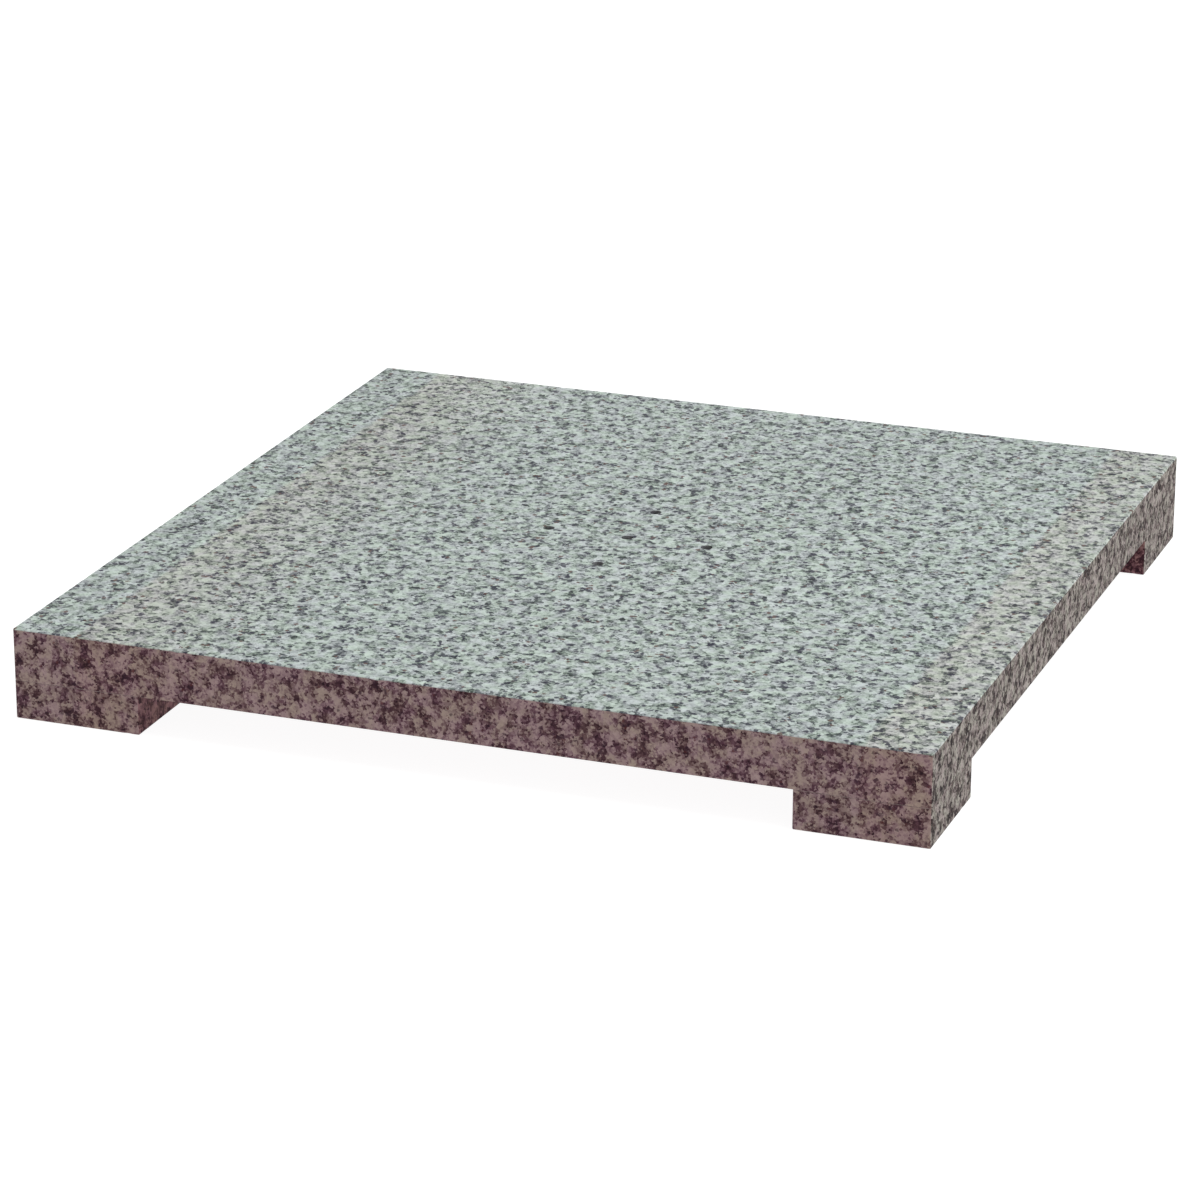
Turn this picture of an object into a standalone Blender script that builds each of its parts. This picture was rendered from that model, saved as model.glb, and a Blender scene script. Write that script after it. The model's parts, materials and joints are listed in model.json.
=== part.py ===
"""Square granite base slab on four granite feet.

The slab lies flat on four square blocks, flush with its corners. Each block is bonded to the
slab's underside by a thin bed of resin and two stainless dowel pins, which sit in blind sockets
in both stones. Five plain bores go through the middle of the slab for a bolted flange: one at
the centre, and four on a bolt circle, on the slab's two mid-lines.

Metres, +Z up. The origin is on the ground under the slab's centre, -Y is the front.
"""

import math

import bmesh
import bpy
from mathutils import Matrix, Vector

# Slab
SLAB_WIDTH = 0.700  # along X
SLAB_DEPTH = 0.700  # along Y
SLAB_THICKNESS = 0.040
STONE_ARRIS = 0.001  # 45 degree arris on every exposed stone edge

# Feet
FOOT_WIDTH = 0.100  # along X
FOOT_DEPTH = 0.100  # along Y
CLEAR_HEIGHT = 0.030  # from the ground to the slab's underside

# Bores for the flange
BOLT_BORE_DIAMETER = 0.009  # clears an M8 bolt
BOLT_CIRCLE_DIAMETER = 0.130
BOLT_COUNT = 4
CENTRE_BORE_DIAMETER = 0.009

# Bonded and pinned joint between a foot and the slab
JOINT_THICKNESS = 0.001
PIN_DIAMETER = 0.008
PIN_DEPTH_IN_SLAB = 0.018
PIN_DEPTH_IN_FOOT = 0.018
PIN_SPACING = 0.050  # between the two pins of one foot
PIN_CHAMFER = 0.0008
SOCKET_CLEARANCE = 0.001  # round a pin, filled by the resin collar
SOCKET_END_ROOM = 0.001  # past a pin's end

# Fits and facets
FACE_GAP = 0.0003  # kept between two solids that touch
CUTTER_OVERSHOOT = 0.002  # how far a cutter stands out of the face it enters by
BORE_SEGMENTS = 48
PIN_SEGMENTS = 32
SMOOTH_BELOW = math.radians(30)

# Heights that follow from the sizes above
FOOT_TOP = CLEAR_HEIGHT - JOINT_THICKNESS
JOINT_MIDDLE = CLEAR_HEIGHT - JOINT_THICKNESS / 2

# Radii of the joint, from the pin outwards
PIN_RADIUS = PIN_DIAMETER / 2
SOCKET_RADIUS = PIN_RADIUS + SOCKET_CLEARANCE
COLLAR_INNER_RADIUS = PIN_RADIUS + FACE_GAP
COLLAR_OUTER_RADIUS = SOCKET_RADIUS - FACE_GAP

# Corner name and the sides of X and Y that it is on
CORNERS = {
    "front_left": (-1, -1),
    "front_right": (1, -1),
    "back_right": (1, 1),
    "back_left": (-1, 1),
}


def clear_scene():
    """Remove every object of the open scene."""
    for old in list(bpy.data.objects):
        bpy.data.objects.remove(old, do_unlink=True)


def make_material(name, colour, roughness, metallic=0.0):
    """Return a Principled material with one colour, roughness and metallic value."""
    material = bpy.data.materials.new(name)
    material.use_nodes = True
    shader = material.node_tree.nodes["Principled BSDF"]
    shader.inputs["Base Color"].default_value = (*colour, 1.0)
    shader.inputs["Roughness"].default_value = roughness
    shader.inputs["Metallic"].default_value = metallic
    return material


def add_box(bm, size, bottom=0.0):
    """Add a box of this size, centred on the Z axis, standing on the height bottom."""
    middle = Vector((0.0, 0.0, bottom + size[2] / 2))
    placed = Matrix.Translation(middle) @ Matrix.Diagonal((*size, 1.0))
    return bmesh.ops.create_cube(bm, size=1.0, matrix=placed)["verts"]


def add_cylinder(bm, radius, low, high, place=(0.0, 0.0), segments=PIN_SEGMENTS):
    """Add an upright closed cylinder from height low to height high."""
    middle = Matrix.Translation((place[0], place[1], (low + high) / 2))
    bmesh.ops.create_cone(
        bm,
        cap_ends=True,
        segments=segments,
        radius1=radius,
        radius2=radius,
        depth=high - low,
        matrix=middle,
    )


def cut_arris(bm, edges, width):
    """Take the corner off these edges with one flat of the given width to each side."""
    bmesh.ops.bevel(
        bm, geom=edges, offset=width, offset_type="OFFSET", segments=1, affect="EDGES"
    )


def edges_not_at(bm, height):
    """Return the edges that don't lie at this height."""
    tolerance = STONE_ARRIS / 10
    return [
        edge
        for edge in bm.edges
        if any(abs(vert.co.z - height) > tolerance for vert in edge.verts)
    ]


def link_object(name, bm, parent, location=(0.0, 0.0, 0.0), material=None):
    """Turn the bmesh into a named object under the parent, with sharp creases kept."""
    bmesh.ops.recalc_face_normals(bm, faces=bm.faces)
    mesh = bpy.data.meshes.new(name)
    bm.to_mesh(mesh)
    bm.free()
    mesh.shade_smooth()
    mesh.set_sharp_from_angle(angle=SMOOTH_BELOW)
    piece = bpy.data.objects.new(name, mesh)
    bpy.context.scene.collection.objects.link(piece)
    piece.parent = parent
    piece.location = location
    if material:
        mesh.materials.append(material)
    return piece


def link_cutter(name, bm, parent):
    """Turn the bmesh into a wire cutter, which isn't part of the object."""
    cutter = link_object(name, bm, parent)
    cutter.hide_render = True
    cutter.display_type = "WIRE"
    return cutter


def apply_boolean(piece, cutter, operation="DIFFERENCE"):
    """Give the piece a Boolean modifier that cuts or joins it with the cutter."""
    boolean = piece.modifiers.new(cutter.name, "BOOLEAN")
    boolean.operation = operation
    boolean.solver = "EXACT"
    boolean.object = cutter


def bolt_places():
    """Return the centres of the bores on the bolt circle, the first one on +X."""
    radius = BOLT_CIRCLE_DIAMETER / 2
    turns = [2 * math.pi * index / BOLT_COUNT for index in range(BOLT_COUNT)]
    return [(radius * math.cos(turn), radius * math.sin(turn)) for turn in turns]


def foot_centre(side):
    """Return the centre of the foot on this side of X and Y, flush with the slab's corner."""
    return Vector(
        (
            side[0] * (SLAB_WIDTH - FOOT_WIDTH) / 2,
            side[1] * (SLAB_DEPTH - FOOT_DEPTH) / 2,
            0.0,
        )
    )


def pin_offsets(side):
    """Return the two pin centres from the foot's centre, across the foot's corner diagonal."""
    across = Vector((side[0], -side[1], 0.0)).normalized() * PIN_SPACING / 2
    return {"a": across, "b": -across}


def make_slab(root, granite):
    """Make the slab with its five bores and the pin sockets in its underside."""
    bm = bmesh.new()
    add_box(bm, (SLAB_WIDTH, SLAB_DEPTH, SLAB_THICKNESS))
    cut_arris(bm, edges_not_at(bm, 0.0), STONE_ARRIS)
    slab = link_object("slab", bm, root, (0.0, 0.0, CLEAR_HEIGHT), granite)

    bm = bmesh.new()
    low = -CUTTER_OVERSHOOT
    high = SLAB_THICKNESS + CUTTER_OVERSHOOT
    add_cylinder(bm, CENTRE_BORE_DIAMETER / 2, low, high, segments=BORE_SEGMENTS)
    for place in bolt_places():
        add_cylinder(bm, BOLT_BORE_DIAMETER / 2, low, high, place, BORE_SEGMENTS)
    socket_end = PIN_DEPTH_IN_SLAB + SOCKET_END_ROOM
    for side in CORNERS.values():
        for offset in pin_offsets(side).values():
            place = foot_centre(side) + offset
            add_cylinder(bm, SOCKET_RADIUS, low, socket_end, place.xy)
    apply_boolean(slab, link_cutter("slab_holes", bm, slab))
    return slab


def make_foot(root, corner, side, granite):
    """Make one foot block with the pin sockets in its top."""
    bm = bmesh.new()
    add_box(bm, (FOOT_WIDTH, FOOT_DEPTH, FOOT_TOP))
    cut_arris(bm, edges_not_at(bm, FOOT_TOP), STONE_ARRIS)
    foot = link_object(f"foot_{corner}", bm, root, foot_centre(side), granite)

    bm = bmesh.new()
    socket_end = FOOT_TOP - PIN_DEPTH_IN_FOOT - SOCKET_END_ROOM
    for offset in pin_offsets(side).values():
        add_cylinder(bm, SOCKET_RADIUS, socket_end, FOOT_TOP + CUTTER_OVERSHOOT, offset.xy)
    apply_boolean(foot, link_cutter(f"foot_holes_{corner}", bm, foot))
    return foot


def make_resin_bed(root, corner, side, resin):
    """Make the resin of one joint: a thin bed, with a collar round each pin in both sockets."""
    bed_thickness = JOINT_THICKNESS - 2 * FACE_GAP
    bed_width = FOOT_WIDTH - 2 * STONE_ARRIS
    bed_depth = FOOT_DEPTH - 2 * STONE_ARRIS
    centre = foot_centre(side) + Vector((0.0, 0.0, JOINT_MIDDLE))
    collar_low = -JOINT_THICKNESS / 2 - PIN_DEPTH_IN_FOOT
    collar_high = JOINT_THICKNESS / 2 + PIN_DEPTH_IN_SLAB

    bm = bmesh.new()
    add_box(bm, (bed_width, bed_depth, bed_thickness), -bed_thickness / 2)
    bed = link_object(f"resin_bed_{corner}", bm, root, centre, resin)

    bm = bmesh.new()
    for offset in pin_offsets(side).values():
        add_cylinder(bm, COLLAR_OUTER_RADIUS, collar_low, collar_high, offset.xy)
    apply_boolean(bed, link_cutter(f"resin_collars_{corner}", bm, bed), "UNION")

    bm = bmesh.new()
    for offset in pin_offsets(side).values():
        low = collar_low - CUTTER_OVERSHOOT
        high = collar_high + CUTTER_OVERSHOOT
        add_cylinder(bm, COLLAR_INNER_RADIUS, low, high, offset.xy)
    apply_boolean(bed, link_cutter(f"resin_pin_holes_{corner}", bm, bed))
    return bed


def make_pin(root, name, centre, steel):
    """Make one dowel pin with chamfered ends, standing across the joint."""
    low = -JOINT_THICKNESS / 2 - PIN_DEPTH_IN_FOOT
    high = JOINT_THICKNESS / 2 + PIN_DEPTH_IN_SLAB
    bm = bmesh.new()
    add_cylinder(bm, PIN_RADIUS, low, high)
    rims = [edge for edge in bm.edges if edge.verts[0].co.z == edge.verts[1].co.z]
    cut_arris(bm, rims, PIN_CHAMFER)
    return link_object(name, bm, root, centre, steel)


def build():
    """Build every piece under one empty on the ground."""
    clear_scene()
    root = bpy.data.objects.new("granite_base", None)
    bpy.context.scene.collection.objects.link(root)

    slab_granite = make_material("slab_granite", (0.345, 0.381, 0.364), 0.5)
    make_slab(root, slab_granite)
    for corner, side in CORNERS.items():
        foot_granite = make_material(f"foot_granite_{corner}", (0.152, 0.100, 0.103), 0.65)
        make_foot(root, corner, side, foot_granite)
        resin = make_material(f"resin_{corner}", (0.13, 0.11, 0.11), 0.45)
        make_resin_bed(root, corner, side, resin)
        for letter, offset in pin_offsets(side).items():
            name = f"dowel_{corner}_{letter}"
            centre = foot_centre(side) + offset + Vector((0.0, 0.0, JOINT_MIDDLE))
            steel = make_material(f"steel_{corner}_{letter}", (0.55, 0.56, 0.57), 0.35, 1.0)
            make_pin(root, name, centre, steel)


build()
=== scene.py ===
"""Looks of a square granite base slab on four bonded granite feet.

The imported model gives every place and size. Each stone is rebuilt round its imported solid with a
worked arris, small chips and drilled bores, and gets a granite of crystals and flecks. The resin
beds close the thin joints, and the dowel pins keep their solids and get a steel finish.

Metres, +Z up. The origin is on the ground under the slab's centre, -Y is the front.
"""

from __future__ import annotations

import json
import logging
import math
from dataclasses import dataclass, replace
from enum import Enum

import bmesh
import bpy
from bpy.types import Material, Node, Object
from bpy.types import NodeSocket as Socket
from mathutils import Matrix, Vector, noise


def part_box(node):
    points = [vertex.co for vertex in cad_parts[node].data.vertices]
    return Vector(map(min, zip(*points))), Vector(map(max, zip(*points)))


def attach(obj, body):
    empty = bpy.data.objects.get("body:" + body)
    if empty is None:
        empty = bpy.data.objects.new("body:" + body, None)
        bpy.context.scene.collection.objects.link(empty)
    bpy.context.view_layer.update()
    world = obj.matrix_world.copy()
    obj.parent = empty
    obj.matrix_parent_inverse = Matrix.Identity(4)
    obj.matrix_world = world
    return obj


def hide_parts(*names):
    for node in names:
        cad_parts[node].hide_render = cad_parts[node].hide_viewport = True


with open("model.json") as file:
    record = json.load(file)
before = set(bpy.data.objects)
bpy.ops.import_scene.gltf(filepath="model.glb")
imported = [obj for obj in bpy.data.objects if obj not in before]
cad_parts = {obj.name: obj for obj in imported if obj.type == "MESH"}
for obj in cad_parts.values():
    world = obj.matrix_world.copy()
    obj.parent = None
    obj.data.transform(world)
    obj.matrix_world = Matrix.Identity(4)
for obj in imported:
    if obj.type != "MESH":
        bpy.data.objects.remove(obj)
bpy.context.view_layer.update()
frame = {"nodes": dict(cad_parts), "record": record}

LOG = logging.getLogger("granite_base")
ROOT = "root"
MM = 0.001
MM_PER_METRE = 1000.0
CORNERS = ("front_left", "front_right", "back_right", "back_left")
PINS = ("a", "b")

# Height of the joint over a foot, and the resin's room round a pin and past its ends.
JOINT_GAP = 0.4 * MM
PIN_CLEARANCE = 1.0 * MM
PIN_END_ROOM = 1.0 * MM

# A face counts as one of these from this much of its normal along Z.
UPWARD = 0.3
LEVEL = 0.8
NO_WALL = 0.9

# How far a bore's mouth reaches past the bore, in its usual chips.
MOUTH_CHIPS = 3


class Slot(Enum):
    """Material slots of the record that the rebuilt pieces take their finish from."""

    SLAB = "slab_granite"
    FOOT = "foot_granite"
    RESIN = "resin"


class Face(Enum):
    """How a face of the stone was worked, and which painted light or shade it carries; the value is
    its material index.
    """

    # The honed top is paler partly by painted light from above, the sawn front and side are a
    # shaded and a lit copy of one granite, and the inner faces and undersides carry painted shade.
    HONED_LIT_TOP = 0
    SHADED_SAWN_FRONT = 1
    LIT_SAWN_SIDE = 2
    DRILLED = 3
    SHADED_SAWN_INNER = 4


def linear(red: int, green: int, blue: int) -> tuple[float, float, float, float]:
    """Turn a paint-chip colour of 0 to 255 into scene-linear RGBA.

    Args:
        red: Red of the chip.
        green: Green of the chip.
        blue: Blue of the chip.

    Returns:
        The colour as a shader socket takes it.
    """
    channels = []
    for value in (red, green, blue):
        share = value / 255
        low = share / 12.92
        high = ((share + 0.055) / 1.055) ** 2.4
        channels.append(low if share <= 0.04045 else high)
    return (channels[0], channels[1], channels[2], 1.0)


# ------------------------ node graphs


class Bench:
    """A short way to write the node graph of one material."""

    def __init__(self, name: str) -> None:
        """Start a material with a Principled shader.

        Args:
            name: Name of the material.
        """
        self.material = bpy.data.materials.new(name)
        self.material.use_nodes = True
        self.tree = self.material.node_tree
        self.shader = self.tree.nodes["Principled BSDF"]

    def node(self, kind: str, **settings: object) -> Node:
        """Add a node and set its properties.

        Args:
            kind: The node's type name.
            **settings: Properties of the node.

        Returns:
            The new node.
        """
        made = self.tree.nodes.new(kind)
        for key, value in settings.items():
            setattr(made, key, value)
        return made

    def feed(self, socket: Socket, value: object) -> None:
        """Link an output to a socket, or set the socket's own value.

        Args:
            socket: The input to fill.
            value: An output socket, a number, a vector or a colour.
        """
        if isinstance(value, Socket):
            self.tree.links.new(value, socket)
        else:
            socket.default_value = value

    def math(self, operation: str, a: object, b: object = 0.0) -> Socket:
        """Work out one number from two.

        Args:
            operation: The Math node's operation.
            a: First value or output.
            b: Second value or output.

        Returns:
            The result's output.
        """
        made = self.node("ShaderNodeMath", operation=operation)
        self.feed(made.inputs[0], a)
        self.feed(made.inputs[1], b)
        return made.outputs[0]

    def scaled(self, value: object, by: float, plus: float = 0.0) -> Socket:
        """Scale a value, and shift it.

        Args:
            value: The value or output to scale.
            by: The factor.
            plus: What is added after it.

        Returns:
            The scaled output.
        """
        made = self.node("ShaderNodeMath", operation="MULTIPLY_ADD")
        self.feed(made.inputs[0], value)
        made.inputs[1].default_value = by
        made.inputs[2].default_value = plus
        return made.outputs[0]

    def vector(self, operation: str, a: object, b: object) -> Socket:
        """Work out one vector from two.

        Args:
            operation: The Vector Math node's operation.
            a: First vector or output.
            b: Second vector or output.

        Returns:
            The result's output.
        """
        made = self.node("ShaderNodeVectorMath", operation=operation)
        self.feed(made.inputs[0], a)
        self.feed(made.inputs[1], b)
        return made.outputs[0]

    def noise(
        self,
        place: object,
        grain: float,
        detail: float = 2.0,
        roughness: float = 0.5,
        output: str = "Fac",
    ) -> Socket:
        """Add soft noise of a given grain size.

        Args:
            place: Where it is read, in millimetres.
            grain: Size of its largest patches, in millimetres.
            detail: Octaves of finer noise.
            roughness: Strength of the finer octaves.
            output: "Fac" or "Color".

        Returns:
            The noise output, centred on 0.5.
        """
        made = self.node("ShaderNodeTexNoise")
        self.feed(made.inputs["Vector"], place)
        made.inputs["Scale"].default_value = 1.0 / grain
        made.inputs["Detail"].default_value = detail
        made.inputs["Roughness"].default_value = roughness
        return made.outputs[output]

    def crystals(self, place: object, grain: float) -> Node:
        """Add a packing of crystals, each with its own random colour and its middle.

        Args:
            place: Where it is read, in millimetres.
            grain: Mean size of a crystal, in millimetres.

        Returns:
            The Voronoi node.
        """
        made = self.node("ShaderNodeTexVoronoi", feature="F1")
        self.feed(made.inputs["Vector"], place)
        made.inputs["Scale"].default_value = 1.0 / grain
        return made

    def channel(self, colour: object, index: int) -> Socket:
        """Take one channel of a colour.

        Args:
            colour: The colour output.
            index: 0 for red, 1 for green, 2 for blue.

        Returns:
            The channel's output.
        """
        made = self.node("ShaderNodeSeparateColor")
        self.feed(made.inputs[0], colour)
        return made.outputs[index]

    def span(self, value: object, low: float, high: float) -> Socket:
        """Ramp a value smoothly from 0 at low to 1 at high.

        Args:
            value: The value or output to ramp.
            low: Value that gives 0.
            high: Value that gives 1.

        Returns:
            The ramped output, from 0 to 1.
        """
        made = self.node("ShaderNodeMapRange", interpolation_type="SMOOTHSTEP")
        self.feed(made.inputs["Value"], value)
        made.inputs["From Min"].default_value = low
        made.inputs["From Max"].default_value = high
        return made.outputs["Result"]

    def ramp(self, value: object, stops: tuple) -> Socket:
        """Colour a value by stops of (place, colour).

        Args:
            value: The value or output to colour.
            stops: Pairs of a place from 0 to 1 and a linear colour.

        Returns:
            The colour output.
        """
        made = self.node("ShaderNodeValToRGB")
        elements = made.color_ramp.elements
        while len(elements) < len(stops):
            elements.new(1.0)
        for element, (place, colour) in zip(elements, stops):
            element.position = place
            element.color = colour
        self.feed(made.inputs[0], value)
        return made.outputs["Color"]

    def mix(self, share: object, a: object, b: object, blend: str = "MIX") -> Socket:
        """Mix two colours.

        Args:
            share: How much of the second colour shows.
            a: First colour or output.
            b: Second colour or output.
            blend: The Mix node's blend type.

        Returns:
            The mixed colour output.
        """
        made = self.node("ShaderNodeMix", data_type="RGBA", blend_type=blend)
        self.feed(made.inputs[0], share)
        self.feed(made.inputs[6], a)
        self.feed(made.inputs[7], b)
        return made.outputs[2]

    def surface(self, colour: object, roughness: object) -> None:
        """Give the shader its colour and its roughness."""
        self.feed(self.shader.inputs["Base Color"], colour)
        self.feed(self.shader.inputs["Roughness"], roughness)

    def bump(self, height: object, distance: float, strength: float) -> None:
        """Give the shader a bump from a height.

        Args:
            height: The height output, from 0 to 1.
            distance: What a height of 1 stands for, in metres.
            strength: How strongly the bump shows.
        """
        made = self.node("ShaderNodeBump")
        made.inputs["Strength"].default_value = strength
        made.inputs["Distance"].default_value = distance
        self.feed(made.inputs["Height"], height)
        self.feed(self.shader.inputs["Normal"], made.outputs[0])


# ------------------------ finishes


@dataclass(frozen=True)
class Granite:
    """One worked surface of the granite; some are copies with painted light or shade.

    The stone is a packing of small crystals. Each takes its tone from how rich in mica that spot
    is, in clumps and in finer mottling, and from chance. Mica books, which are stacks of dark
    flakes, lie in clusters on top. Every grain is the size of one kind of patch, in millimetres.

    Attributes:
        name: Name of the material.
        tones: Stops from the darkest mica to the palest feldspar, as (place, colour).
        warm: Tint of the warm beds.
        violet: Tint of the crystals that lean to violet.
        green: Tint of the crystals that lean to green.
        mica: Colour of a mica book.
        rust: Colour of a weathered one.
        polish: Roughness of the smoothest crystals.
        relief: Height of the surface's relief, in metres.
        grown: Whether mica gathers by whole crystals, or by small flecks.
        cut_from: How far the pattern is shifted along X, Y and Z, in millimetres.
        specular: Strength of the shine.
        polish_spread: How much rougher the roughest crystals are.
        wobble: How far a crystal's outline strays, in millimetres.
        pit_share: Share of the relief that is pits; the rest follows the tone.
        bump_strength: How strongly the relief shows.
        chance_share: How much chance varies the tone of a small crystal.
        mottle_share: How much the mottling varies the tone.
        clump_share: How much the clumps of mica vary it.
        crystal_share: How much it varies from one large crystal to the next.
        bed_starts: Where along X the warm beds begin, in millimetres.
        bed_rise: Over what distance a bed's sharp side comes in, in millimetres.
        bed_lead: How far before its start a bed begins to fade, in millimetres.
        bed_width: How far past its start it has faded out, in millimetres.
        bed_waver: How far its sharp side strays from a straight line, in millimetres.
        hue_span: Noise over which the tint goes from green to violet.
        tint_tones: Tones at which the tint is weakest and full.
        pale_tint: How much of the tint the palest crystals take.
        book_level: Level of the cluster noise from which books show.
        book_step: How far above it they are full.
        book_strength: How fully a book covers the stone below it.
        book_luck: How much chance moves the level.
        book_lean: How much a darker tone moves it.
        book_rim: Distances from a book's middle over which it ends, as shares of its grain.
        rust_above: Chance over which a book is a weathered one.
    """

    name: str
    tones: tuple
    warm: tuple
    violet: tuple
    green: tuple
    mica: tuple
    rust: tuple
    polish: float
    relief: float
    grown: bool = True
    cut_from: tuple = (0.0, 0.0, 0.0)
    specular: float = 0.2
    polish_spread: float = 0.14
    fleck_grain: float = 1.6
    mottle_grain: float = 4.0
    clump_grain: float = 10.0
    crystal_grain: float = 3.3
    wobble: float = 1.2
    wobble_grain: float = 1.8
    pit_grain: float = 0.6
    pit_share: float = 0.6
    bump_strength: float = 0.6
    chance_share: float = 0.18
    mottle_share: float = 0.5
    clump_share: float = 0.85
    crystal_share: float = 0.17
    bed_starts: tuple = (-302.0, 297.0)
    bed_rise: float = 5.0
    bed_lead: float = 20.0
    bed_width: float = 160.0
    bed_waver: float = 5.0
    bed_waver_grain: float = 25.0
    hue_grain: float = 9.0
    hue_span: tuple = (0.34, 0.66)
    tint_tones: tuple = (0.55, 0.35)
    pale_tint: float = 0.5
    book_grain: float = 3.2
    cluster_grain: float = 8.0
    book_level: float = 0.635
    book_step: float = 0.03
    book_strength: float = 0.84
    book_luck: float = 0.16
    book_lean: float = 0.3
    book_rim: tuple = (0.5, 0.7)
    rust_above: tuple = (0.86, 0.88)

    def build(self) -> Material:
        """Write the granite's node graph.

        Returns:
            The material.
        """
        bench = Bench(self.name)
        where = bench.node("ShaderNodeTexCoord").outputs["Object"]
        scaled = bench.vector("MULTIPLY", where, (MM_PER_METRE,) * 3)
        place = bench.vector("ADD", scaled, self.cut_from)
        wobbled = self.wobbled(bench, place)
        flecks = bench.crystals(wobbled, self.fleck_grain)
        chance = bench.channel(flecks.outputs["Color"], 0)
        tone = self.tone(bench, flecks, chance, wobbled)
        tinted = self.tinted(bench, bench.ramp(tone, self.tones), tone, flecks, place)
        colour = self.booked(bench, tinted, tone, wobbled)
        bench.surface(colour, bench.scaled(chance, self.polish_spread, self.polish))
        bench.shader.inputs["Specular IOR Level"].default_value = self.specular
        pits = bench.noise(place, self.pit_grain, detail=3.0, roughness=0.7)
        pitted = bench.math("MULTIPLY", pits, self.pit_share)
        height = bench.math("ADD", pitted, bench.scaled(tone, 1.0 - self.pit_share))
        bench.bump(height, self.relief, self.bump_strength)
        return bench.material

    def wobbled(self, bench: Bench, place: Socket) -> Socket:
        """Bend the place a little, so that crystals have ragged outlines.

        Args:
            bench: The material being written.
            place: The place in millimetres.

        Returns:
            The bent place.
        """
        push = bench.noise(place, self.wobble_grain, roughness=0.6, output="Color")
        centred = bench.vector("SUBTRACT", push, (0.5, 0.5, 0.5))
        return bench.vector("ADD", place, bench.vector("MULTIPLY", centred, (self.wobble * 2,) * 3))

    def tone(self, bench: Bench, flecks: Node, chance: Socket, wobbled: Socket) -> Socket:
        """Work out how dark or pale each crystal is.

        Args:
            bench: The material being written.
            flecks: The packing of small crystals.
            chance: A random number for each small crystal.
            wobbled: The bent place in millimetres.

        Returns:
            The tone, around 0.5, lower where it is darker.
        """
        larger = bench.crystals(wobbled, self.crystal_grain)
        crystal = bench.channel(larger.outputs["Color"], 1)
        middle = (larger if self.grown else flecks).outputs["Position"]
        clump = bench.noise(middle, self.clump_grain, detail=3.0, roughness=0.6)
        mottle = bench.noise(middle, self.mottle_grain, detail=1.5)
        parts = (
            (clump, self.clump_share),
            (mottle, self.mottle_share),
            (chance, self.chance_share),
            (crystal, self.crystal_share),
        )
        tone = 0.5 - 0.5 * sum(share for _, share in parts)
        for value, share in parts:
            tone = bench.math("ADD", tone, bench.scaled(value, share))
        return tone

    def tinted(
        self, bench: Bench, colour: Socket, tone: Socket, flecks: Node, place: Socket
    ) -> Socket:
        """Lean some crystals to violet and some to green, and two beds to a warm hue.

        Args:
            bench: The material being written.
            colour: The colour from the tone alone.
            tone: The tone.
            flecks: The packing of small crystals.
            place: The place in millimetres.

        Returns:
            The tinted colour.
        """
        hue = bench.noise(flecks.outputs["Position"], self.hue_grain, detail=1.0)
        tint = bench.mix(bench.span(hue, *self.hue_span), self.green, self.violet)
        dark = bench.span(tone, *self.tint_tones)
        share = bench.scaled(dark, 1.0 - self.pale_tint, self.pale_tint)
        tinted = bench.mix(share, colour, tint, "MULTIPLY")
        return bench.mix(self.warm_beds(bench, place), tinted, self.warm, "MULTIPLY")

    def booked(self, bench: Bench, colour: Socket, tone: Socket, wobbled: Socket) -> Socket:
        """Scatter crisp dark mica books, more of them where the stone is darker.

        Args:
            bench: The material being written.
            colour: The colour so far.
            tone: The tone.
            wobbled: The bent place in millimetres.

        Returns:
            The colour with the books in it.
        """
        books = bench.crystals(wobbled, self.book_grain)
        hues = books.outputs["Color"]
        cluster = bench.noise(books.outputs["Position"], self.cluster_grain, detail=1.0)
        luck = bench.scaled(bench.channel(hues, 2), self.book_luck, -self.book_luck / 2)
        lean = bench.scaled(tone, -self.book_lean, self.book_lean / 2)
        pick = bench.math("ADD", bench.math("ADD", cluster, luck), lean)
        chosen = bench.span(pick, self.book_level, self.book_level + self.book_step)
        rim = bench.span(books.outputs["Distance"], *self.book_rim)
        inside = bench.math("SUBTRACT", 1.0, rim)
        weathered = bench.span(bench.channel(hues, 0), *self.rust_above)
        share = bench.scaled(bench.math("MULTIPLY", chosen, inside), self.book_strength)
        return bench.mix(share, colour, bench.mix(weathered, self.mica, self.rust))

    def warm_beds(self, bench: Bench, place: Socket) -> Socket:
        """Find the two faint warm beds of the stone, which run from front to back.

        Args:
            bench: The material being written.
            place: The place in millimetres.

        Returns:
            How far the spot is into a warm bed, from 0 to 1.
        """
        split = bench.node("ShaderNodeSeparateXYZ")
        bench.feed(split.inputs[0], place)
        waver = bench.noise(place, self.bed_waver_grain)
        sway = bench.scaled(waver, 2 * self.bed_waver, -self.bed_waver)
        across = bench.math("ADD", split.outputs[0], sway)
        beds = None
        for start in self.bed_starts:
            rise = bench.span(across, start, start + self.bed_rise)
            fade = bench.span(across, start - self.bed_lead, start + self.bed_width)
            bed = bench.math("MULTIPLY", rise, bench.math("SUBTRACT", 1.0, fade))
            beds = bed if beds is None else bench.math("ADD", beds, bed)
        return beds


# The honed top: a real honed finish, kept paler and cooler than the sawn faces partly as painted
# light from above.
HONED_LIT_GRANITE = Granite(
    name="honed_lit_granite",
    tones=(
        (0.25, linear(34, 40, 43)),
        (0.33, linear(70, 78, 78)),
        (0.40, linear(110, 118, 115)),
        (0.46, linear(145, 153, 149)),
        (0.53, linear(168, 176, 172)),
        (0.63, linear(184, 193, 188)),
        (0.75, linear(193, 202, 197)),
    ),
    warm=(1.025, 0.94, 0.91, 1.0),
    violet=(1.03, 0.95, 1.08, 1.0),
    green=(0.95, 1.01, 0.91, 1.0),
    mica=linear(36, 33, 54),
    rust=linear(88, 58, 50),
    polish=0.45,
    relief=0.00004,
    specular=0.35,
    clump_share=0.82,
    book_level=0.615,
)

# The front's sawn granite: the shaded copy, darker and warmer than the side's, as painted shade
# where the light misses the front.
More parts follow.
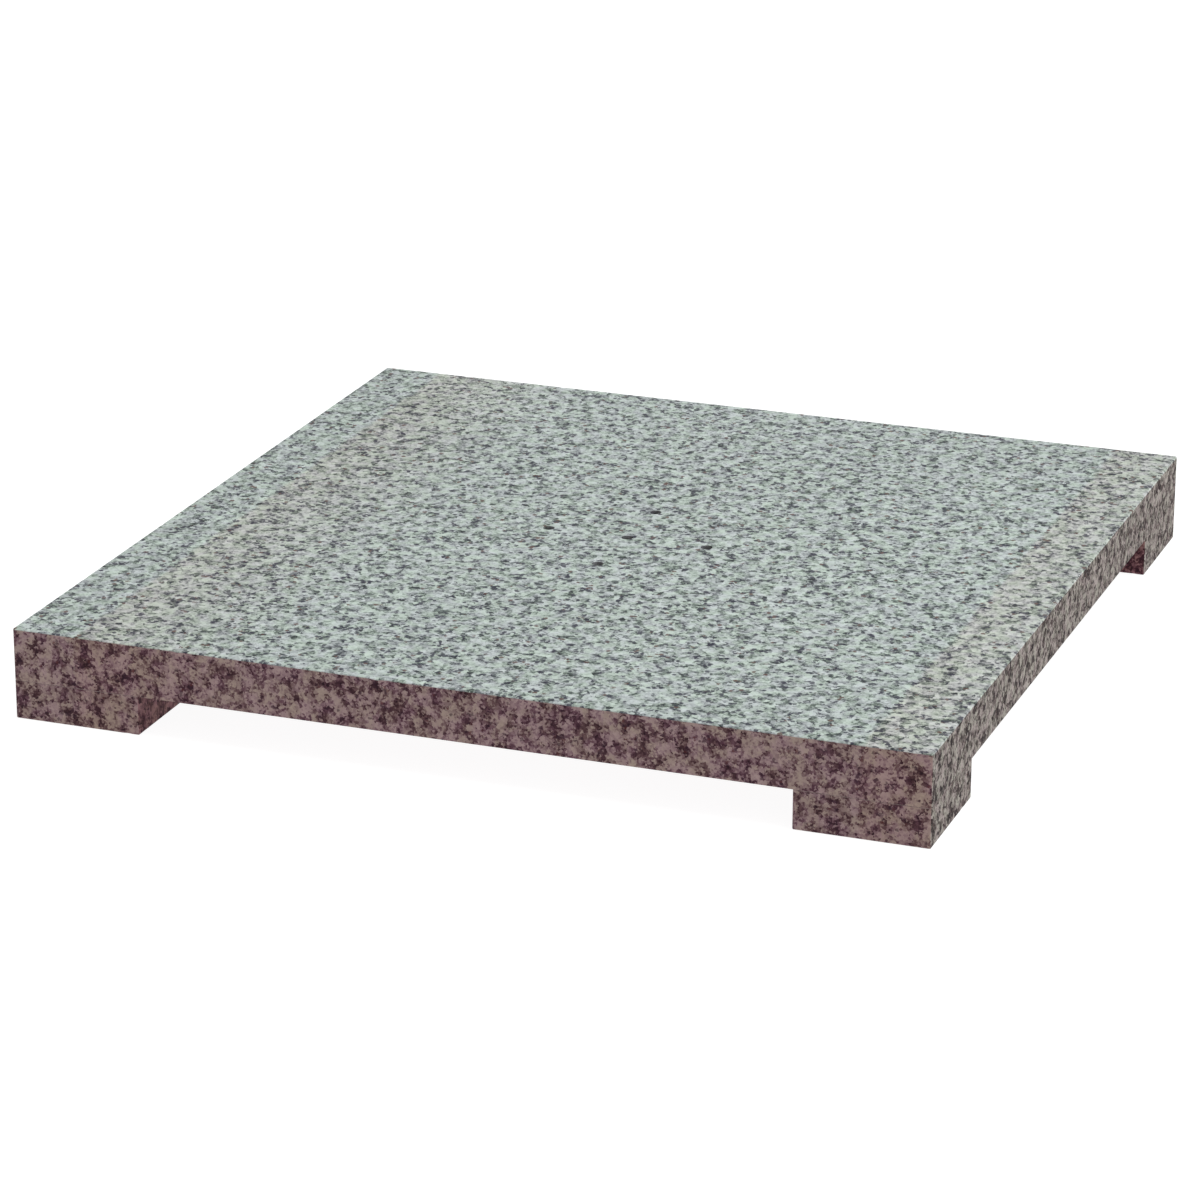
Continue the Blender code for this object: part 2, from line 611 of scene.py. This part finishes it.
SHADED_FRONT_GRANITE = Granite(
    name="shaded_sawn_granite_front",
    tones=(
        (0.20, linear(36, 10, 22)),
        (0.34, linear(63, 36, 44)),
        (0.44, linear(96, 70, 75)),
        (0.52, linear(130, 108, 108)),
        (0.60, linear(146, 126, 122)),
        (0.76, linear(157, 138, 131)),
    ),
    warm=(1.0, 0.97, 0.93, 1.0),
    violet=(1.02, 0.93, 1.10, 1.0),
    green=(0.97, 1.02, 0.90, 1.0),
    mica=linear(42, 18, 34),
    rust=linear(78, 34, 34),
    polish=0.75,
    relief=0.0001,
    grown=False,
    cut_from=(0.0, 40.0, 130.0),
    clump_grain=9.6,
    crystal_grain=3.6,
    chance_share=0.23,
    clump_share=0.88,
    crystal_share=0.06,
    book_grain=2.2,
    cluster_grain=7.0,
    book_level=0.66,
    book_strength=0.6,
)

# The side's sawn granite: the lit copy, paler and cooler than the front's, as painted light from
# the right.
LIT_SIDE_GRANITE = Granite(
    name="lit_sawn_granite_side",
    tones=(
        (0.26, linear(14, 3, 6)),
        (0.35, linear(34, 21, 22)),
        (0.42, linear(67, 57, 55)),
        (0.48, linear(102, 94, 91)),
        (0.54, linear(127, 120, 116)),
        (0.63, linear(147, 140, 136)),
        (0.75, linear(154, 148, 143)),
    ),
    warm=(1.0, 0.97, 0.93, 1.0),
    violet=(1.06, 0.95, 1.04, 1.0),
    green=(0.95, 1.02, 0.95, 1.0),
    mica=linear(30, 16, 22),
    rust=linear(80, 48, 40),
    polish=0.75,
    relief=0.0001,
)

# Inner faces and undersides: a darker copy of the front's granite, as painted shade under the slab
# and on the feet's inner faces.
SHADED_INNER_GRANITE = replace(
    SHADED_FRONT_GRANITE,
    name="shaded_sawn_granite_inner",
    tones=(
        (0.20, linear(32, 6, 16)),
        (0.36, linear(53, 24, 33)),
        (0.46, linear(82, 51, 57)),
        (0.54, linear(113, 82, 85)),
        (0.62, linear(130, 98, 100)),
        (0.78, linear(142, 109, 109)),
    ),
)

DRILLED_GRANITE = replace(
    HONED_LIT_GRANITE,
    name="drilled_granite",
    tones=(
        (0.30, linear(78, 79, 81)),
        (0.52, linear(134, 135, 136)),
        (0.70, linear(158, 159, 160)),
    ),
    book_strength=0.3,
    polish=0.7,
    relief=0.00008,
)


@dataclass(frozen=True)
class FilledResin:
    """Stone resin filled with granite dust, so that it matches the sawn stone.

    Attributes:
        name: Name of the material.
        tones: Stops from the darkest dust to the palest, as (place, colour).
        grain: Size of the dust's clumps, in millimetres.
        sheen: Roughness of the cured resin.
        sheen_spread: How much rougher the dust makes it.
        relief: Height of the dust's clumps, in metres.
        bump_strength: How strongly they show.
    """

    name: str = "filled_resin"
    tones: tuple = ((0.34, linear(70, 50, 54)), (0.62, linear(148, 130, 125)))
    grain: float = 2.2
    sheen: float = 0.6
    sheen_spread: float = 0.2
    relief: float = 0.00005
    bump_strength: float = 0.5

    def build(self) -> Material:
        """Write the resin's node graph.

        Returns:
            The material.
        """
        bench = Bench(self.name)
        where = bench.node("ShaderNodeTexCoord").outputs["Object"]
        place = bench.vector("MULTIPLY", where, (MM_PER_METRE,) * 3)
        dust = bench.noise(place, self.grain, detail=3.0, roughness=0.7)
        roughness = bench.scaled(dust, self.sheen_spread, self.sheen)
        bench.surface(bench.ramp(dust, self.tones), roughness)
        bench.bump(dust, self.relief, self.bump_strength)
        return bench.material


@dataclass(frozen=True)
class DrawnSteel:
    """Bright drawn stainless rod, with fine lines along its length.

    Attributes:
        name: Name of the material.
        tones: Stops from between the lines to on them, as (place, colour).
        line: Width of a drawing line, in millimetres.
        stretch: How much longer than wide a line is.
        sheen: Roughness of the brightest lines.
        sheen_spread: How much rougher it is between them.
        relief: Depth of the lines, in metres.
        bump_strength: How strongly they show.
    """

    name: str = "drawn_stainless"
    tones: tuple = ((0.3, linear(176, 176, 174)), (0.7, linear(208, 208, 205)))
    line: float = 0.15
    stretch: float = 60.0
    sheen: float = 0.26
    sheen_spread: float = 0.12
    relief: float = 0.00001
    bump_strength: float = 0.4

    def build(self) -> Material:
        """Write the steel's node graph.

        Returns:
            The material.
        """
        bench = Bench(self.name)
        where = bench.node("ShaderNodeTexCoord").outputs["Object"]
        scale = (MM_PER_METRE, MM_PER_METRE, MM_PER_METRE / self.stretch)
        stretched = bench.vector("MULTIPLY", where, scale)
        lines = bench.noise(stretched, self.line, roughness=0.6)
        roughness = bench.scaled(lines, -self.sheen_spread, self.sheen + self.sheen_spread)
        bench.surface(bench.ramp(lines, self.tones), roughness)
        bench.shader.inputs["Metallic"].default_value = 1.0
        bench.bump(lines, self.relief, self.bump_strength)
        return bench.material


# ------------------------ meshes


def link(name: str, bm: bmesh.types.BMesh) -> Object:
    """Put a finished bmesh into the scene as an object at the origin.

    Args:
        name: Name of the object and of its mesh.
        bm: The bmesh, which is freed.

    Returns:
        The object.
    """
    mesh = bpy.data.meshes.new(name)
    bm.to_mesh(mesh)
    bm.free()
    made = bpy.data.objects.new(name, mesh)
    bpy.context.scene.collection.objects.link(made)
    return made


def close(bm: bmesh.types.BMesh, rings: list[list[Vector]]) -> None:
    """Join a stack of rings into a closed body, with its faces pointing out.

    Args:
        bm: The bmesh to add it to.
        rings: The rings from bottom to top, each anticlockwise.
    """
    stack = [[bm.verts.new(place) for place in ring] for ring in rings]
    bm.faces.new(reversed(stack[0]))
    for lower, upper in zip(stack, stack[1:]):
        for index in range(len(lower)):
            after = (index + 1) % len(lower)
            bm.faces.new((lower[index], lower[after], upper[after], upper[index]))
    bm.faces.new(stack[-1])


@dataclass(frozen=True)
class EdgeWear:
    """How an edge between two faces is worn.

    Attributes:
        width: Width of the arris on each face, in metres.
        chip: Depth of the largest chips, in metres.
        waver: Share of the width by which the arris wanders.
        wavers: How closely it wanders, in turns per metre.
        chips: How closely chips may lie, in turns per metre.
        chip_level: Noise above which the edge is chipped.
        chip_span: Noise from there to the largest chip.
        chip_drop: How far a chip runs down, as a share of how far it runs in.
        chip_shift: Where in the noise the chips are read.
    """

    width: float
    chip: float
    waver: float = 0.22
    wavers: float = 260.0
    chips: float = 95.0
    chip_level: float = 0.38
    chip_span: float = 0.4
    chip_drop: float = 0.8
    chip_shift: tuple = (7.1, 3.3, 5.9)

    def at(self, place: Vector, deepest: float) -> tuple[float, float]:
        """Return the arris's inset and drop at a place along the edge.

        Args:
            place: The place, in metres.
            deepest: Most that the inset may be there, in metres.

        Returns:
            The inset on the flat face and the drop down the upright face.
        """
        waver = 1.0 + self.waver * noise.noise(place * self.wavers)
        bite = noise.noise(place * self.chips + Vector(self.chip_shift))
        chip = self.chip * max(0.0, bite - self.chip_level) / self.chip_span
        inset = min(self.width * waver + chip, deepest)
        drop = self.width * (2.0 - waver) + self.chip_drop * chip
        return inset, drop


@dataclass
class StoneBlock:
    """A block built as a stack of outlines between two flat faces.

    Attributes:
        low: Its lowest corner.
        high: Its highest corner.
        top_wear: Wear of its top edges, if they are worn.
        bottom_wear: Wear of its bottom edges, if they are worn.
        corner_radius: Radius of its upright edges, in metres.
        corner_limit: Most that wear takes off at an upright edge, as a share of that radius.
        arris_round: Where the arris bends, as a share of its inset and drop.
        pitch: Distance between the points along an outline, in metres.
        corner_steps: Steps round an upright edge.
    """

    low: Vector
    high: Vector
    top_wear: EdgeWear | None = None
    bottom_wear: EdgeWear | None = None
    corner_radius: float = 1.3 * MM
    corner_limit: float = 0.85
    arris_round: float = 0.3
    pitch: float = 1.6 * MM
    corner_steps: int = 4

    def outline(self) -> list[tuple[Vector, Vector, bool]]:
        """Walk round the block from the front right corner, anticlockwise.

        Returns:
            Points of the outline, each with its outward normal and whether it is on a corner.
        """
        points = []
        radius = self.corner_radius
        low = self.low
        high = self.high
        centres = (
            (Vector((high.x - radius, low.y + radius, 0.0)), -90.0),
            (Vector((high.x - radius, high.y - radius, 0.0)), 0.0),
            (Vector((low.x + radius, high.y - radius, 0.0)), 90.0),
            (Vector((low.x + radius, low.y + radius, 0.0)), 180.0),
        )
        for index, (centre, start) in enumerate(centres):
            for step in range(self.corner_steps + 1):
                turn = math.radians(start + 90.0 * step / self.corner_steps)
                normal = Vector((math.cos(turn), math.sin(turn), 0.0))
                points.append((centre + normal * radius, normal, True))
            end, normal = points[-1][0], points[-1][1]
            following = centres[(index + 1) % len(centres)][0] + normal * radius
            steps = max(1, round((following - end).length / self.pitch))
            for step in range(1, steps):
                points.append((end.lerp(following, step / steps), normal, False))
        return points

    def rings(self) -> list[list[Vector]]:
        """Stack the block's outlines.

        Returns:
            The outlines, from the bottom face to the top face.
        """
        outline = self.outline()
        if self.top_wear is None or self.bottom_wear is None:
            heights = (self.low.z, self.high.z)
            return [[Vector((p.x, p.y, z)) for p, _, _ in outline] for z in heights]
        rings: list[list[Vector]] = [[] for _ in range(6)]
        for point, normal, on_corner in outline:
            deepest = self.corner_limit * self.corner_radius if on_corner else math.inf
            at_bottom = Vector((point.x, point.y, self.low.z))
            at_top = Vector((point.x, point.y, self.high.z))
            for base, wear, order, way in (
                (at_bottom, self.bottom_wear, (0, 1, 2), 1.0),
                (at_top, self.top_wear, (5, 4, 3), -1.0),
            ):
                inset, drop = wear.at(base, deepest)
                up = Vector((0.0, 0.0, way))
                bend = base - normal * inset * self.arris_round + up * drop * self.arris_round
                rings[order[0]].append(base - normal * inset)
                rings[order[1]].append(bend)
                rings[order[2]].append(base + up * drop)
        return rings

    def build(self, name: str) -> Object:
        """Build the block.

        Args:
            name: Name of the piece.

        Returns:
            The piece.
        """
        bm = bmesh.new()
        close(bm, self.rings())
        return link(name, bm)


@dataclass
class Hole:
    """A round hole along Z, whose mouth may be chipped by the drill.

    Attributes:
        centre: A point on its axis, at height 0.
        radius: Its radius, in metres.
        low: Height of its lower end, in metres.
        high: Height of its upper end, in metres.
        chip: How far a chipped mouth usually reaches past the radius, in metres.
        lip: How deep a chipped mouth usually is, in metres.
        open_low: Whether it comes out at its lower end.
        open_high: Whether it comes out at its upper end.
        segments: Steps round it.
        overshoot: How far the cutter stands out of an open end, in metres.
        round_noise: How finely the mouth is chipped round the hole, in turns per metre.
        end_noise: How much the chips of the two ends differ, in turns per metre.
        even: Least that a mouth is chipped, as a share of the usual chip.
        uneven: How much more it is chipped as the noise goes up.
        uneven_from: Noise from which it is chipped more.
    """

    centre: Vector
    radius: float
    low: float
    high: float
    chip: float = 0.0
    lip: float = 0.0
    open_low: bool = True
    open_high: bool = True
    segments: int = 64
    overshoot: float = 2.0 * MM
    round_noise: float = 420.0
    end_noise: float = 90.0
    even: float = 0.6
    uneven: float = 0.9
    uneven_from: float = -0.15

    def raggedness(self, way: Vector, height: float) -> float:
        """Return how much the mouth is chipped at a place on its rim.

        Args:
            way: Direction from the axis.
            height: Height of the rim, in metres.

        Returns:
            The chip there, as a share of the usual one.
        """
        place = (self.centre + way * self.radius) * self.round_noise
        place.z = height * self.end_noise
        return self.even + self.uneven * max(0.0, noise.noise(place) - self.uneven_from)

    def add_to(self, bm: bmesh.types.BMesh) -> None:
        """Add the hole's cutter as a closed turned body.

        Args:
            bm: The cutter mesh to add it to.
        """
        rings: list[list[Vector]] = []
        profile: list[tuple[float, float]] = []
        if self.open_low:
            profile += [(self.low - self.overshoot, 1.0), (self.low, 1.0), (self.low, 0.0)]
        else:
            profile += [(self.low, 0.0)]
        if self.open_high:
            profile += [(self.high, 0.0), (self.high, 1.0), (self.high + self.overshoot, 1.0)]
        else:
            profile += [(self.high, 0.0)]
        for order, (height, flare) in enumerate(profile):
            into = 0.0
            if flare == 0.0 and self.lip:
                into = self.lip if order < len(profile) / 2 else -self.lip
            ring = []
            for step in range(self.segments):
                turn = 2 * math.pi * step / self.segments
                way = Vector((math.cos(turn), math.sin(turn), 0.0))
                ragged = self.raggedness(way, height)
                reach = self.radius + flare * self.chip * ragged
                place = self.centre + way * reach
                place.z = height + into * ragged
                ring.append(place)
            rings.append(ring)
        close(bm, rings)


def carve(piece: Object, holes: list[Hole], operation: str = "DIFFERENCE") -> None:
    """Cut holes in a piece, or join turned bodies to it, and apply the result.

    Args:
        piece: The piece to change.
        holes: The holes or bodies.
        operation: The Boolean modifier's operation.
    """
    bm = bmesh.new()
    for hole in holes:
        hole.add_to(bm)
    cutter = link(piece.name + "_cutter", bm)
    boolean = piece.modifiers.new("holes", "BOOLEAN")
    boolean.operation = operation
    boolean.solver = "EXACT"
    boolean.object = cutter
    bpy.context.view_layer.update()
    depsgraph = bpy.context.evaluated_depsgraph_get()
    carved = bpy.data.meshes.new_from_object(piece.evaluated_get(depsgraph))
    piece.modifiers.clear()
    spent = (piece.data, cutter.data)
    piece.data = carved
    bpy.data.objects.remove(cutter)
    for mesh in spent:
        bpy.data.meshes.remove(mesh)


def crease(piece: Object, degrees: float = 22.0) -> None:
    """Shade a piece smooth, and keep creases above an angle sharp."""
    piece.data.shade_smooth()
    piece.data.set_sharp_from_angle(angle=math.radians(degrees))


@dataclass(frozen=True)
class StoneFinishes:
    """The finishes of a stone's faces, with their lit and shaded copies, in the order of Face."""

    honed: Material
    front: Material
    side: Material
    drilled: Material
    inner: Material

    def dress(self, piece: Object, honed_above: float) -> None:
        """Give each face of a stone its finish and its painted light or shade, by the way it looks
        and where it is.

        Args:
            piece: The stone.
            honed_above: Height above which an upward face is honed, in metres.
        """
        piece.data.materials.clear()
        for material in (self.honed, self.front, self.side, self.drilled, self.inner):
            piece.data.materials.append(material)
        for face in piece.data.polygons:
            outward = face.center.xy.dot(face.normal.xy) > 0.0
            # The top takes the honed granite, paler partly by painted light from above.
            if face.normal.z > UPWARD and face.center.z > honed_above:
                chosen = Face.HONED_LIT_TOP
            # Inward faces and undersides take the darker copy, with painted shade.
            elif not outward or abs(face.normal.z) >= LEVEL:
                chosen = Face.SHADED_SAWN_INNER
            # Outward faces along X take the lit copy of the sawn granite, with painted light.
            elif abs(face.normal.x) > abs(face.normal.y):
                chosen = Face.LIT_SAWN_SIDE
            # Outward faces along Y take the shaded copy of the sawn granite, with painted shade.
            else:
                chosen = Face.SHADED_SAWN_FRONT
            face.material_index = chosen.value

    @staticmethod
    def dress_bores(piece: Object, bores: list[Hole]) -> None:
        """Give the walls and chipped mouths of the bores the drilled finish.

        Args:
            piece: The stone.
            bores: Its bores.
        """
        for face in piece.data.polygons:
            for bore in bores:
                away = (face.center.xy - bore.centre.xy).length
                mouth = bore.radius + MOUTH_CHIPS * bore.chip
                if away < mouth and abs(face.normal.z) < NO_WALL:
                    face.material_index = Face.DRILLED.value


# ------------------------ sub-assemblies


def pin_socket(corner: str, letter: str, low: float, high: float, clearance: float) -> Hole:
    """Return the socket or collar round one dowel pin.

    Args:
        corner: Corner of the foot.
        letter: Which of its two pins.
        low: Lower end, in metres.
        high: Upper end, in metres.
        clearance: Room round the pin, in metres.

    Returns:
        A plain hole round the pin's axis.
    """
    pin_low, pin_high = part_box(f"dowel_{corner}_{letter}")
    centre = (pin_low + pin_high) / 2
    centre.z = 0.0
    radius = (pin_high.x - pin_low.x) / 2 + clearance
    return Hole(centre, radius, low, high, segments=32)


@dataclass(frozen=True)
class GraniteSlab:
    """The slab, with a honed top, sawn edges, five drilled bores and blind pin sockets."""

    bore_diameter: float = 9.0 * MM
    bore_chip: float = 0.14 * MM
    bore_lip: float = 0.1 * MM
    honed_depth: float = 2.5 * MM
    top_wear: EdgeWear = EdgeWear(0.9 * MM, 0.9 * MM)
    bottom_wear: EdgeWear = EdgeWear(0.15 * MM, 0.25 * MM)

    def bores(self) -> list[Hole]:
        """Find the five bores.

        Returns:
            The bores, where the record's openings have them.
        """
        low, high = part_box("slab")
        found = []
        for opening in frame["record"]["physics"]["openings"]:
            if "bore" not in opening["name"]:
                continue
            corner_a, corner_b = opening["box_m"]
            centre = (Vector(corner_a) + Vector(corner_b)) / 2
            centre.z = 0.0
            radius = self.bore_diameter / 2
            found.append(Hole(centre, radius, low.z, high.z, self.bore_chip, self.bore_lip))
        return found

    def sockets(self) -> list[Hole]:
        """Find the blind sockets in the slab's underside.

        Returns:
            The sockets of all pins.
        """
        low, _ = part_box("slab")
        found = []
        for corner in CORNERS:
            for letter in PINS:
                _, pin_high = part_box(f"dowel_{corner}_{letter}")
                end = pin_high.z + PIN_END_ROOM
                hole = pin_socket(corner, letter, low.z, end, PIN_CLEARANCE)
                hole.open_high = False
                found.append(hole)
        return found

    def build(self, finishes: StoneFinishes) -> None:
        """Build and dress the slab.

        Args:
            finishes: The stone's finishes.
        """
        low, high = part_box("slab")
        slab = StoneBlock(low, high, self.top_wear, self.bottom_wear).build("granite_slab")
        bores = self.bores()
        carve(slab, bores + self.sockets())
        finishes.dress(slab, high.z - self.honed_depth)
        finishes.dress_bores(slab, bores)
        crease(slab)
        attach(slab, ROOT)
        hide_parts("slab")
        LOG.info("slab: %d faces", len(slab.data.polygons))


@dataclass(frozen=True)
class GraniteFoot:
    """One foot block, bonded under a corner of the slab."""

    corner: str
    top_wear: EdgeWear = EdgeWear(0.1 * MM, 0.15 * MM)
    bottom_wear: EdgeWear = EdgeWear(0.9 * MM, 0.8 * MM)

    def build(self, finishes: StoneFinishes) -> None:
        """Build and dress the foot.

        Args:
            finishes: The stone's finishes.
        """
        node = f"foot_{self.corner}"
        low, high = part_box(node)
        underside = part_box("slab")[0].z
        high.z = underside - JOINT_GAP
        foot = StoneBlock(low, high, self.top_wear, self.bottom_wear).build(f"granite_{node}")
        sockets = []
        for letter in PINS:
            pin_low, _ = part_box(f"dowel_{self.corner}_{letter}")
            end = pin_low.z - PIN_END_ROOM
            hole = pin_socket(self.corner, letter, end, high.z, PIN_CLEARANCE)
            hole.open_low = False
            sockets.append(hole)
        carve(foot, sockets)
        finishes.dress(foot, underside)
        crease(foot)
        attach(foot, ROOT)
        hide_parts(node)
        LOG.info("%s: %d faces", node, len(foot.data.polygons))


@dataclass(frozen=True)
class ResinBed:
    """The resin of one joint: a thin bed between the stones, and a collar round each pin.

    Attributes:
        corner: Corner of the slab that the joint is at.
        inset: How far the bed's edge is behind the stones' faces, in metres.
        face_room: Room between the resin and what it touches, in metres.
        cutter_over: How far the pins' cutters stand out of the collars, in metres.
        plate_pitch: Distance between the points along the bed's outline, in metres.
    """

    corner: str
    inset: float = 0.08 * MM
    face_room: float = 0.01 * MM
    cutter_over: float = 1.0 * MM
    plate_pitch: float = 10.0 * MM

    def build(self, resin: Material) -> None:
        """Build and dress the bed.

        Args:
            resin: The resin's material.
        """
        node = f"resin_bed_{self.corner}"
        low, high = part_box(f"foot_{self.corner}")
        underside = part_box("slab")[0].z
        inset = Vector((self.inset, self.inset, 0.0))
        low = low + inset
        high = high - inset
        low.z = underside - JOINT_GAP + self.face_room
        high.z = underside - self.face_room
        bed = StoneBlock(low, high, pitch=self.plate_pitch).build(f"filled_{node}")
        collar_low, collar_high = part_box(node)
        outside = PIN_CLEARANCE - self.face_room
        for operation, clearance, over in (
            ("UNION", outside, 0.0),
            ("DIFFERENCE", self.face_room, self.cutter_over),
        ):
            bodies = []
            for letter in PINS:
                ends = (collar_low.z - over, collar_high.z + over)
                body = pin_socket(self.corner, letter, *ends, clearance)
                body.open_low = False
                body.open_high = False
                bodies.append(body)
            carve(bed, bodies, operation)
        bed.data.materials.clear()
        bed.data.materials.append(resin)
        crease(bed)
        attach(bed, ROOT)
        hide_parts(node)
        LOG.info("%s: %d faces", node, len(bed.data.polygons))


@dataclass(frozen=True)
class DowelPins:
    """The two dowel pins of one joint, which keep their solids."""

    corner: str

    def dress(self, steel: Material) -> None:
        """Give both pins the steel's finish.

        Args:
            steel: The steel's material.
        """
        for letter in PINS:
            pin = frame["nodes"][f"dowel_{self.corner}_{letter}"]
            for place in pin.material_slots:
                place.material = steel
            LOG.info("%s: %s", pin.name, steel.name)


# ------------------------ studio


@dataclass(frozen=True)
class SoftLight:
    """A broad, distant soft light, the same all over the floor.

    Attributes:
        name: Name of the light.
        towards: Direction from the object to the light.
        strength: Power that falls on a square metre facing it, in watts.
        spread: Angle that it covers as seen from the object, in degrees.
        tint: Colour of the light.
    """

    name: str
    towards: tuple
    strength: float
    spread: float
    tint: tuple

    def build(self) -> None:
        """Hang the light."""
        data = bpy.data.lights.new(self.name, "SUN")
        data.energy = self.strength
        data.angle = math.radians(self.spread)
        data.color = self.tint
        made = bpy.data.objects.new(self.name, data)
        made.location = self.towards
        made.rotation_euler = (-Vector(self.towards)).to_track_quat("-Z", "Y").to_euler()
        bpy.context.scene.collection.objects.link(made)


@dataclass(frozen=True)
class Viewpoint:
    """Where the camera stands, from angles and a distance to the ground under the slab's centre.

    Attributes:
        azimuth: Turn from straight in front towards the right side, in degrees.
        elevation: Angle above the ground, in degrees.
        roll: Lean of the camera, in degrees.
        distance: Distance along the line of sight, in metres.
        aside: How far that point is to the right of the line of sight, in metres.
        above: How far it is above the line of sight, in metres.
        lens: Focal length, in millimetres.
        sensor: Width of the sensor, in millimetres.
    """

    azimuth: float = 20.43
    elevation: float = 19.88
    roll: float = 0.11
    distance: float = 3.5105
    aside: float = 0.0209
    above: float = -0.0175
    lens: float = 135.22
    sensor: float = 36.0

    def build(self) -> None:
        """Place the camera and make it the scene's."""
        turn = math.radians(self.azimuth)
        tilt = math.radians(self.elevation)
        lean = math.radians(self.roll)
        ahead = Vector(
            (
                -math.sin(turn) * math.cos(tilt),
                math.cos(turn) * math.cos(tilt),
                -math.sin(tilt),
            )
        )
        level = Vector((math.cos(turn), math.sin(turn), 0.0))
        upright = level.cross(ahead)
        right = level * math.cos(lean) + upright * math.sin(lean)
        up = upright * math.cos(lean) - level * math.sin(lean)
        place = -ahead * self.distance - right * self.aside - up * self.above
        data = bpy.data.cameras.new("camera")
        data.sensor_width = self.sensor
        data.lens = self.lens
        data.dof.use_dof = False
        camera = bpy.data.objects.new("camera", data)
        axes = Matrix((right, up, -ahead)).transposed().to_4x4()
        camera.matrix_world = Matrix.Translation(place) @ axes
        bpy.context.scene.collection.objects.link(camera)
        bpy.context.scene.camera = camera


@dataclass(frozen=True)
class Studio:
    """A plain pale light table under soft light."""

    floor_radius: float = 40.0
    floor_drop: float = 0.2 * MM
    floor_segments: int = 96
    floor_roughness: float = 0.9
    floor_colour: tuple = (0.22, 0.22, 0.22, 1.0)
    floor_glow: float = 0.93
    sky_colour: tuple = (1.0, 0.96, 0.96, 1.0)
    sky_strength: float = 0.45
    key: SoftLight = SoftLight(
        "key", towards=(0.5, 0.22, 0.9), strength=2.8, spread=55.0, tint=(0.93, 1.0, 0.99)
    )

    def floor(self) -> None:
        """Lay the floor as one round sheet."""
        bm = bmesh.new()
        bmesh.ops.create_circle(
            bm, cap_ends=True, radius=self.floor_radius, segments=self.floor_segments
        )
        floor = link("floor", bm)
        bench = Bench("floor_paint")
        bench.surface(self.floor_colour, self.floor_roughness)
        bench.shader.inputs["Specular IOR Level"].default_value = 0.0
        bench.shader.inputs["Emission Color"].default_value = (1.0, 1.0, 1.0, 1.0)
        bench.shader.inputs["Emission Strength"].default_value = self.floor_glow
        floor.data.materials.append(bench.material)
        floor.location.z = -self.floor_drop

    def sky(self) -> None:
        """Light the room evenly."""
        world = bpy.data.worlds.new("room")
        world.use_nodes = True
        background = world.node_tree.nodes["Background"]
        background.inputs["Color"].default_value = self.sky_colour
        background.inputs["Strength"].default_value = self.sky_strength
        bpy.context.scene.world = world

    def build(self) -> None:
        """Set up the floor, the light and the camera."""
        self.floor()
        self.sky()
        self.key.build()
        Viewpoint().build()
        bpy.context.scene.view_settings.view_transform = "Standard"


def main() -> None:
    logging.basicConfig(level=logging.INFO, format="%(name)s %(message)s")
    stones = (HONED_LIT_GRANITE, SHADED_FRONT_GRANITE, LIT_SIDE_GRANITE, DRILLED_GRANITE, SHADED_INNER_GRANITE)
    finishes = StoneFinishes(*(stone.build() for stone in stones))
    resin = FilledResin().build()
    steel = DrawnSteel().build()
    GraniteSlab().build(finishes)
    for corner in CORNERS:
        GraniteFoot(corner).build(finishes)
        ResinBed(corner).build(resin)
        DowelPins(corner).dress(steel)
    Studio().build()


if __name__ == "__main__":
    main()
